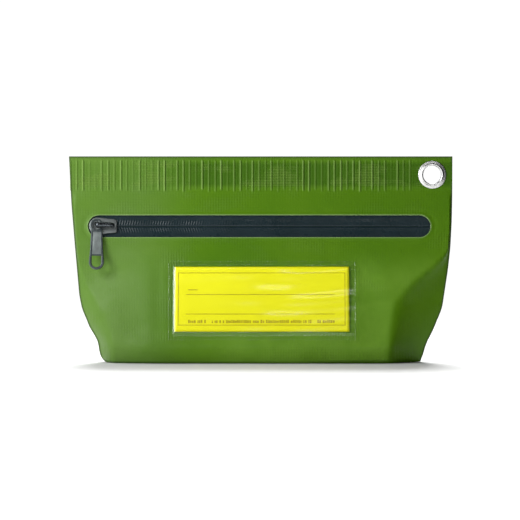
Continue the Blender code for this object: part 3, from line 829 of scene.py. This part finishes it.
def label_window():
    """Clear vinyl welded down on three sides and bowed up over the card."""
    x0, x1 = WINDOW_X0, WINDOW_X1
    v0, v1 = POCKET_V0 - 0.3 * mm - BORDER, POCKET_V1 + 0.3 * mm + BORDER
    edge = np.array([0, 0.6, 1.3, 2.0, 2.5, 2.9, 3.3, 3.7, 4.1, 4.5, 5.0]) * mm
    flat = 5.5 * mm
    x = np.concatenate([x0 + edge, np.linspace(x0 + flat, x1, 110)])
    v = np.concatenate([v0 + edge, np.linspace(v0 + flat, v1 - flat, 44), v1 - edge[::-1]])
    x, v = np.broadcast_arrays(x, v[:, None])
    inside = np.minimum(np.minimum(x - x0, v - v0), v1 - v)
    rise = ease((inside - 2.5 * mm) / (2.6 * mm))
    wave = np.sin(2 * math.pi * v / (15 * mm) + 1.6 * np.sin(x / (17 * mm)) + x / (40 * mm))
    wave += 0.5 * np.sin(2 * math.pi * v / (8.5 * mm) - x / (14 * mm) + 1.1)
    right_half = 0.25 + 0.75 * ease((x + 25 * mm) / (50 * mm))
    n = 0.58 * mm + rise * (0.80 * mm + 0.20 * mm * right_half * wave)
    weld = (1 - rise) * 0.03 * mm * np.cos(2 * math.pi * (x + v) / (1.1 * mm))
    made = grid_mesh("window_vinyl", on_face(x, v, n + weld), x.shape, flip=True)
    thicken(made, 0.24 * mm)
    return made


def eyelet_pieces():
    """The barrel, rolled over at both ends, and the washer that it holds behind the cloth."""
    centre = (EYELET_X, SEAM_Y, EYELET_Z)
    front = SEAM_HALF + 0.3 * mm
    lip = front + 1.0 * mm
    hole, out = 5.6 * mm, EYELET_RADIUS
    barrel = [(6.3 * mm, front), (6.3 * mm, -lip + 0.2 * mm), (6.6 * mm, -lip), (7.5 * mm, -lip)]
    barrel += arc(6.75 * mm, -lip - 0.35 * mm, 0.85 * mm, -20, -160, 9, tall=0.5 * mm)
    barrel += [(hole, -lip + 0.3 * mm), (hole, front + 0.1 * mm)]
    barrel += arc(6.45 * mm, front + 0.1 * mm, 0.85 * mm, 175, 40, 11, tall=0.95 * mm)
    barrel += [(7.5 * mm, front + 0.60 * mm), (8.1 * mm, front + 0.50 * mm)]
    barrel += arc(out - 0.25 * mm, front + 0.2 * mm, 0.25 * mm, 70, -60, 6, tall=0.22 * mm)
    barrel += [(out - 0.4 * mm, front)]
    ring = [(6.6 * mm, -front), (6.6 * mm, -front - 0.6 * mm), (6.8 * mm, -front - 0.7 * mm),
            (7.85 * mm, -front - 0.7 * mm), (8.0 * mm, -front - 0.85 * mm),
            (out - 0.2 * mm, -front - 0.8 * mm), (out, -front - 0.6 * mm), (out, -front)]
    return lathe("eyelet_grommet", barrel, centre), lathe("eyelet_ring", ring, centre)


# ---------------------------------------------------------------- materials


class Look:
    """A node material. Values given to a node may be numbers, colours or other nodes' outputs."""

    def __init__(self, name, **values):
        self.material = bpy.data.materials.new(name)
        self.material.use_nodes = True
        self.tree = self.material.node_tree
        self.shader = self.tree.nodes["Principled BSDF"]
        self.place = self.add("ShaderNodeTexCoord").outputs["Object"]
        self.finish(**values)

    def set(self, node, values):
        for name, value in values.items():
            socket = node.inputs[name]
            if isinstance(value, bpy.types.NodeSocket):
                self.tree.links.new(value, socket)
            elif socket.type == "RGBA":
                socket.default_value = (*value, 1.0)
            else:
                socket.default_value = value

    def add(self, kind, values=None, **settings):
        node = self.tree.nodes.new(kind)
        for key, value in settings.items():
            setattr(node, key, value)
        self.set(node, values or {})
        return node

    def noise(self, scale, detail=3.0, rough=0.55, stretch=(1, 1, 1), distort=0.0):
        """Cloudy noise with scale patches in a metre, stretched along the axes."""
        at = self.add("ShaderNodeMapping", {"Vector": self.place, "Scale": stretch}).outputs[0]
        values = {"Vector": at, "Scale": scale, "Detail": detail, "Roughness": rough,
                  "Distortion": distort}
        return self.add("ShaderNodeTexNoise", values).outputs[0]

    def lines(self, direction, pitch, distort):
        """Soft bands. At a scale of 1, Blender's wave repeats every 2 pi / 20."""
        values = {"Vector": self.place, "Scale": 2 * math.pi / 20 / pitch, "Distortion": distort,
                  "Detail": 1.0, "Detail Scale": 2.0}
        wave = self.add("ShaderNodeTexWave", values, bands_direction=direction)
        return wave.outputs["Fac"]

    def ramp(self, value, low, high, out_low=0.0, out_high=1.0):
        values = {"Value": value, "From Min": low, "From Max": high, "To Min": out_low,
                  "To Max": out_high}
        return self.add("ShaderNodeMapRange", values, interpolation_type="SMOOTHSTEP").outputs[0]

    def math(self, operation, a, b):
        return self.add("ShaderNodeMath", {0: a, 1: b}, operation=operation).outputs[0]

    def times(self, a, b):
        return self.math("MULTIPLY", a, b)

    def mix(self, factor, a, b):
        return self.add("ShaderNodeMix", {0: factor, 6: a, 7: b}, data_type="RGBA").outputs[2]

    def attribute(self, name):
        return self.add("ShaderNodeAttribute", attribute_name=name).outputs["Fac"]

    def axis(self, name):
        return self.add("ShaderNodeSeparateXYZ", {0: self.place}).outputs[name]

    def along(self, direction, origin):
        """Distance of a point from origin along a direction."""
        moved = self.add("ShaderNodeVectorMath", {0: self.place, 1: tuple(origin)},
                         operation="SUBTRACT").outputs[0]
        return self.add("ShaderNodeVectorMath", {0: moved, 1: tuple(direction)},
                        operation="DOT_PRODUCT").outputs["Value"]

    def bump(self, height, distance, strength=1.0, after=None):
        values = {"Height": height, "Distance": distance, "Strength": strength}
        if after is not None:
            values["Normal"] = after
        return self.add("ShaderNodeBump", values).outputs[0]

    def finish(self, **values):
        self.set(self.shader, {key.replace("_", " "): value for key, value in values.items()})
        return self.material


GREEN_DEEP = (0.054, 0.142, 0.0022)
GREEN_PALE = (0.074, 0.170, 0.0042)


def tarpaulin():
    """Matt PVC-coated cloth: uneven green, the scrim's threads showing faintly through, with
    painted sheen, highlights and shade laid over it.
    """
    look = Look("tarpaulin", Specular_IOR_Level=0.08)
    clouds = look.noise(9, 4, 0.6, distort=0.3)
    specks = look.noise(900, 2, 0.7)
    scuffs = look.noise(60, 6, 0.72, stretch=(1, 1, 2.5))
    colour = look.mix(look.ramp(clouds, 0.35, 0.68), GREEN_DEEP, GREEN_PALE)
    colour = look.mix(look.ramp(specks, 0.45, 0.72, 0, 0.22), colour, GREEN_DEEP)
    colour = look.mix(look.ramp(scuffs, 0.62, 0.80, 0, 0.30), colour, (0.10, 0.19, 0.017))
    cloudy = look.ramp(look.noise(26, 4, 0.6, distort=0.5), 0.3, 0.7, 0.31, 0.50)
    patchy = look.ramp(look.noise(34, 4, 0.6, distort=0.5), 0.3, 0.7, 0.45, 0.85)
    # painted sheen: a patchy lighter-green soft reflection low down and beside the label
    colour = look.mix(look.times(look.attribute("wear_and_sheen"), patchy), colour, (0.120, 0.245, 0.022))
    # painted sheen: a hazy pale reflection over the front's left end
    colour = look.mix(look.times(look.attribute("painted_sheen"), cloudy), colour, (0.130, 0.212, 0.062))
    # painted highlight: a pale line round the slot's lip, where it catches the light
    colour = look.mix(look.attribute("slot_rim_highlight"), colour, (0.17, 0.28, 0.09))
    # painted shade: a dark line along the panels' sides and top edge
    colour = look.mix(look.attribute("edge_shade"), colour, (0.035, 0.060, 0.018))
    warp = look.lines("X", 1.0 * mm, distort=0.6)
    weft = look.lines("Z", 1.0 * mm, distort=0.6)
    patch = look.ramp(look.noise(38, 2, 0.5, stretch=(1, 1, 2)), 0.42, 0.66, 0.2, 1.4)
    height = look.axis("Z")
    band = look.times(look.ramp(height, BAND_LOW + 1.5 * mm, BAND_LOW + 5.5 * mm),
                      look.ramp(height, BAND_HIGH - 0.1 * mm, BAND_HIGH - 3.6 * mm))
    weft = look.times(weft, look.ramp(band, 0, 1, 0.6, 1.7))
    threads = look.times(look.math("ADD", warp, weft), patch)
    welded = look.times(band, look.ramp(look.attribute("painted_sheen"), 0.0, 0.5, 0.85, 0.15))
    colour = look.mix(welded, colour, (0.031, 0.092, 0.0012))
    showing = look.times(look.ramp(threads, 1.1, 2.6), look.ramp(band, 0, 1, 0.15, 0.7))
    colour = look.mix(showing, colour, (0.125, 0.215, 0.035))
    # painted shade in the groove beside each rib
    colour = look.mix(look.times(look.attribute("groove_shade"), 0.55), colour, (0.022, 0.066, 0.002))
    # pale crests: partly rubbed coating, partly a painted highlight along each rib
    colour = look.mix(look.times(look.attribute("crest_rub_and_highlight"), 0.85), colour, (0.20, 0.32, 0.075))
    grain = look.noise(1500, 3, 0.6)
    wrinkles = look.noise(140, 3, 0.55, distort=0.8)
    normal = look.bump(threads, 0.09 * mm, 0.8)
    normal = look.bump(grain, 0.03 * mm, 0.8, normal)
    normal = look.bump(wrinkles, 0.25 * mm, 0.7, normal)
    rough = look.ramp(look.noise(30, 4, 0.6), 0.3, 0.7, 0.32, 0.44)
    return look.finish(Base_Color=colour, Roughness=rough, Normal=normal)


def cut_edge():
    """The tarpaulin's raw edge: green skins with the pale scrim between, darker at the top with
    painted shade.
    """
    look = Look("tarpaulin_cut_edge", Roughness=0.7)
    fibres = look.noise(1800, 3, 0.7)
    pale = look.mix(look.ramp(fibres, 0.35, 0.65), (0.21, 0.33, 0.09), (0.40, 0.47, 0.27))
    dark = look.mix(look.ramp(fibres, 0.35, 0.65), (0.05, 0.07, 0.035), (0.11, 0.14, 0.08))
    # painted shade: the cut edge turns dark along the bag's top
    colour = look.mix(look.ramp(look.axis("Z"), 118 * mm, 122 * mm), pale, dark)
    return look.finish(Base_Color=colour, Normal=look.bump(fibres, 0.05 * mm))


def film():
    """Black polyurethane film on the zip's tapes."""
    look = Look("zip_film", Specular_IOR_Level=0.16)
    clouds = look.noise(45, 4, 0.6)
    colour = look.mix(look.ramp(clouds, 0.3, 0.7), (0.005, 0.013, 0.0155), (0.009, 0.019, 0.023))
    dust = look.ramp(look.noise(700, 4, 0.75), 0.64, 0.82, 0, 0.25)
    colour = look.mix(dust, colour, (0.035, 0.045, 0.05))
    fine = look.noise(1300, 3, 0.6)
    creases = look.noise(260, 4, 0.6, stretch=(1, 1, 0.4))
    normal = look.bump(fine, 0.02 * mm, 0.8)
    normal = look.bump(creases, 0.10 * mm, 0.6, normal)
    rough = look.ramp(look.noise(80, 3, 0.6), 0.3, 0.7, 0.24, 0.36)
    return look.finish(Base_Color=colour, Roughness=rough, Normal=normal)


def nylon(name, tone):
    look = Look(name, Specular_IOR_Level=0.5)
    fine = look.noise(1100, 3, 0.6)
    dark = tuple(0.55 * t for t in tone)
    colour = look.mix(look.ramp(fine, 0.35, 0.65), dark, tone)
    rough = look.ramp(fine, 0.3, 0.7, 0.34, 0.5)
    return look.finish(Base_Color=colour, Roughness=rough, Normal=look.bump(fine, 0.02 * mm))


def yarn():
    look = Look("coil_cord_yarn", Roughness=0.85, Sheen_Weight=0.3)
    twist = look.lines("DIAGONAL", 0.35 * mm, distort=1.0)
    colour = look.mix(twist, (0.008, 0.010, 0.010), (0.030, 0.034, 0.034))
    return look.finish(Base_Color=colour, Normal=look.bump(twist, 0.08 * mm))


def metal(name, tone, rough, wear_and_sheen=0.5, relief=1.0, brushed=(1, 1, 1)):
    """Cast or drawn metal with fine grain, faint scratches and small worn patches."""
    look = Look(name, Metallic=1.0)
    fine = look.noise(1400, 4, 0.7, stretch=brushed)
    scratches = look.noise(500, 5, 0.75, stretch=(0.25, 1, 3.0), distort=0.6)
    patches = look.noise(170, 3, 0.6)
    dark = tuple(t * (1 - 0.35 * wear_and_sheen) for t in tone)
    pale = tuple(min(t * (1 + 0.25 * wear_and_sheen), 1.0) for t in tone)
    colour = look.mix(look.ramp(patches, 0.35, 0.68), dark, pale)
    colour = look.mix(look.ramp(scratches, 0.62, 0.75, 0, 0.5 * wear_and_sheen), colour, pale)
    spread = look.ramp(fine, 0.3, 0.7, rough * 0.8, rough * 1.25)
    normal = look.bump(fine, 0.012 * mm * relief, 0.8)
    normal = look.bump(scratches, 0.02 * mm * relief, 0.5, normal)
    return look.finish(Base_Color=colour, Roughness=spread, Normal=normal)


def pull_metal():
    """Satin gunmetal, its raised rim darker than its sunk middle."""
    look = Look("pull_gunmetal", Metallic=1.0)
    normal_way = FACE.to_3x3() @ Vector((0, -1, 0))
    proud = look.along(normal_way, FACE @ Vector((0, -PULL_FACE, 0)))
    fine = look.noise(1500, 4, 0.7)
    patches = look.noise(160, 3, 0.6)
    face = look.mix(look.ramp(patches, 0.35, 0.65), (0.045, 0.055, 0.058), (0.075, 0.088, 0.090))
    sunk = look.mix(look.ramp(patches, 0.35, 0.65), (0.150, 0.172, 0.168), (0.205, 0.232, 0.225))
    colour = look.mix(look.ramp(proud, 0.02 * mm, 0.2 * mm), sunk, face)
    rough = look.ramp(fine, 0.3, 0.7, 0.30, 0.46)
    return look.finish(Base_Color=colour, Roughness=rough, Normal=look.bump(fine, 0.015 * mm))


def vinyl():
    """Clear soft vinyl: see-through, and glossier where it turns away."""
    look = Look("clear_vinyl")
    clear = look.add("ShaderNodeBsdfTransparent", {"Color": (0.985, 0.99, 0.98)})
    ripples = look.noise(70, 3, 0.5, distort=0.8)
    fine = look.noise(600, 2, 0.5)
    normal = look.bump(ripples, 0.10 * mm, 0.6)
    normal = look.bump(fine, 0.01 * mm, 0.5, normal)
    shine = {"Color": (1, 1, 1), "Roughness": 0.17, "Normal": normal}
    gloss = look.add("ShaderNodeBsdfGlossy", shine)
    facing = look.add("ShaderNodeLayerWeight", {"Blend": 0.5, "Normal": normal}).outputs["Facing"]
    amount = look.math("ADD", look.times(look.math("POWER", facing, 5.0), 0.28), 0.017)
    mixed = look.add("ShaderNodeMixShader", {0: amount, 1: clear.outputs[0], 2: gloss.outputs[0]})
    out = look.tree.nodes["Material Output"]
    look.tree.links.new(mixed.outputs[0], out.inputs["Surface"])
    look.tree.nodes.remove(look.shader)
    return look.material


def card():
    look = Look("yellow_card", Specular_IOR_Level=0.15)
    fibres = look.noise(1100, 4, 0.7, stretch=(0.5, 1, 1))
    clouds = look.noise(14, 3, 0.5)
    colour = look.mix(look.ramp(clouds, 0.3, 0.7), (0.75, 0.715, 0.004), (0.80, 0.77, 0.007))
    colour = look.mix(look.ramp(fibres, 0.55, 0.8, 0, 0.25), colour, (0.72, 0.62, 0.02))
    return look.finish(Base_Color=colour, Roughness=0.6, Normal=look.bump(fibres, 0.015 * mm))


def ink(name, deep, pale):
    look = Look(name, Specular_IOR_Level=0.15)
    soak = look.noise(900, 3, 0.7)
    colour = look.mix(look.ramp(soak, 0.35, 0.7), deep, pale)
    return look.finish(Base_Color=colour, Roughness=0.6)


def paint(obj, *materials):
    obj.data.materials.clear()
    for material in materials:
        obj.data.materials.append(material)


def dress(obj, body, slot, materials, *replaced):
    """Gives a piece its body, unless it is blended, its materials and replaced nodes. slot is not
    used.
    """
    paint(obj, *materials)
    if body:
        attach(obj, body)
    if replaced:
        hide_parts(*replaced)


# ---------------------------------------------------------------- the bag

CLOTH, EDGE = tarpaulin(), cut_edge()
FILM = film()
NYLON = nylon("black_nylon", (0.022, 0.025, 0.026))
CAST = metal("slider_gunmetal", (0.15, 0.165, 0.165), 0.42, relief=1.6)
# painted shade: the crown gets a far darker copy of the slider's gunmetal, standing in for the dark
# reflection along its top
SHADED_CROWN_METAL = metal("crown_gunmetal_painted_dark", (0.055, 0.062, 0.068), 0.26)
STEEL = metal("spring_steel", (0.45, 0.46, 0.47), 0.25, brushed=(0.2, 1, 1))
NICKEL = metal("bright_nickel", (0.62, 0.62, 0.615), 0.34, wear_and_sheen=0.1, relief=0.08)

for name, side, node in (("bag_front", -1, "front_panel"), ("bag_back", 1, "back_panel")):
    sheet_piece = panel(name, side)
    dress(sheet_piece, "shell", "green_tarpaulin", [CLOTH, EDGE], node)
bottom = base()
dress(bottom, "shell", "green_tarpaulin", [CLOTH], "base_panel")

for word, side in HALVES:
    lip = zip_film(f"{word}_zip_film", side)
    dress(lip, "", "black_zip_film", [FILM], f"{word}_zip_tape")
    far = on_face(0.0, side * 8.0 * mm, FILM_N)[0]
    near = on_face(0.0, side * 2.0 * mm, FILM_N)[0]
    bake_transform(lip)
    turns = coil(f"{word}_coil_turns", side)
    dress(turns, f"{word}_stringer", "black_nylon", [NYLON], f"{word}_coil")
for piece, node, body in stops():
    slot, material = ("gunmetal", CAST) if body == "shell" else ("black_nylon", NYLON)
    dress(piece, body, slot, [material], node)

casting, crown_arch = slider_pieces()
dress(casting, "slider", "gunmetal", [CAST], "slider_body")
dress(crown_arch, "slider", "gunmetal", [SHADED_CROWN_METAL], "slider_crown")
dress(pull_piece(), "pull", "gunmetal", [pull_metal()], "pull_tab")

grommet, ring = eyelet_pieces()
dress(grommet, "shell", "bright_nickel", [NICKEL], "eyelet_barrel")
dress(ring, "shell", "bright_nickel", [NICKEL], "eyelet_washer")

INKS = [ink("ochre_ink", (0.34, 0.27, 0.006), (0.52, 0.43, 0.010)),
        ink("dark_ink", (0.008, 0.008, 0.004), (0.03, 0.027, 0.006))]
dress(label_card(), "card", "yellow_card", [card()], "label_card")
dress(card_print(), "card", "yellow_card", INKS)
dress(label_window(), "shell", "clear_vinyl", [vinyl()], "label_window")

YARN = yarn()
for node in ("upper_coil_cord", "lower_coil_cord"):
    paint(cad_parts[node], YARN)
paint(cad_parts["slider_lock_spring"], STEEL)

# ---------------------------------------------------------------- floor, light and camera

bpy.ops.mesh.primitive_plane_add(size=1, location=(-0.45, -0.7, -0.02 * mm))
floor = bpy.context.object
floor.name = "floor"
floor.scale = (1.5, 2.6, 1)
look = Look("pale_floor", Roughness=0.9, Specular_IOR_Level=0.1)
floor.data.materials.append(look.finish(Base_Color=(0.62, 0.62, 0.62)))


def studio():
    """A white room to look at; it lights the bag mostly from low down, from the left and behind."""
    world = bpy.data.worlds.new("studio")
    bpy.context.scene.world = world
    world.use_nodes = True
    tree = world.node_tree

    def node(kind, **settings):
        made = tree.nodes.new(kind)
        for key, value in settings.items():
            setattr(made, key, value)
        return made

    def ramp(value, low, high, out_low, out_high):
        made = node("ShaderNodeMapRange", interpolation_type="SMOOTHSTEP")
        tree.links.new(value, made.inputs["Value"])
        for name, number in zip(("From Min", "From Max", "To Min", "To Max"),
                                (low, high, out_low, out_high)):
            made.inputs[name].default_value = number
        return made.outputs[0]

    def times(a, b, operation="MULTIPLY"):
        made = node("ShaderNodeMath", operation=operation)
        tree.links.new(a, made.inputs[0])
        tree.links.new(b, made.inputs[1])
        return made.outputs[0]

    way = node("ShaderNodeSeparateXYZ")
    tree.links.new(node("ShaderNodeTexCoord").outputs["Generated"], way.inputs[0])
    low_wall = ramp(way.outputs["Z"], 0.03, 0.22, 0.45, 0.03)
    behind = ramp(way.outputs["Y"], -0.2, 0.6, 0.0, 0.45)
    left = ramp(way.outputs["X"], -0.4, 0.6, 1.0, 0.04)
    strength = times(times(low_wall, behind, "MAXIMUM"), left)
    lit = tree.nodes["Background"]
    lit.inputs["Color"].default_value = (0.95, 0.98, 1.0, 1)
    tree.links.new(strength, lit.inputs["Strength"])
    seen = node("ShaderNodeBackground")
    seen.inputs["Strength"].default_value = 1.05
    seen.inputs["Color"].default_value = (1, 1, 1, 1)
    choice = node("ShaderNodeMixShader")
    tree.links.new(node("ShaderNodeLightPath").outputs["Is Camera Ray"], choice.inputs[0])
    tree.links.new(lit.outputs[0], choice.inputs[1])
    tree.links.new(seen.outputs[0], choice.inputs[2])
    tree.links.new(choice.outputs[0], tree.nodes["World Output"].inputs["Surface"])


studio()


def turn_to(obj, target):
    obj.rotation_euler = (Vector(target) - obj.location).to_track_quat("-Z", "Y").to_euler()


def softbox(name, location, size, power):
    """An area light turned towards the middle of the bag."""
    lamp = bpy.data.lights.new(name, "AREA")
    lamp.shape = "RECTANGLE"
    lamp.size, lamp.size_y = size
    lamp.energy = power
    made = add_object(name, lamp)
    made.location = location
    turn_to(made, (0, 0, 0.06))


softbox("key", (-0.46, -0.38, 0.33), (0.26, 0.26), 4.1)
softbox("strip", (0.15, -1.25, 0.90), (0.9, 0.035), 1.6)
softbox("fill", (-0.2, -1.25, 0.10), (0.5, 0.16), 2.2)


def sun(name, power, spread, turn, only=None):
    """A distant light of some width. turn is how far it leans off straight down, in degrees, and
    only is the one object that it lights, though the others still throw their shadow there."""
    lamp = bpy.data.lights.new(name, "SUN")
    lamp.energy = power
    lamp.angle = math.radians(spread)
    made = add_object(name, lamp)
    made.rotation_euler = [math.radians(a) for a in turn] + [0]
    if only:
        lit = bpy.data.collections.new(name + "_lights")
        lit.objects.link(only)
        made.light_linking.receiver_collection = lit


BEHIND = (-39, 2)
sun("overhead", 0.6, 32, (-6, -16))
sun("behind", 1.7, 30, BEHIND)
sun("behind_floor", 4.3, 30, BEHIND, only=floor)

FRAME_WIDTH = 325.4 * mm
LENS, SENSOR = 200.0, 36.0
lens = bpy.data.cameras.new("camera")
lens.lens, lens.sensor_width = LENS, SENSOR
camera = add_object("camera", lens)
distance = FRAME_WIDTH * LENS / SENSOR
lift = math.radians(1.5)
aim = Vector((-0.3 * mm, SEAM_Y, 63.8 * mm))
camera.location = aim + distance * Vector((0, -math.cos(lift), math.sin(lift)))
turn_to(camera, aim)
bpy.context.scene.camera = camera
bpy.context.scene.view_settings.view_transform = "Standard"
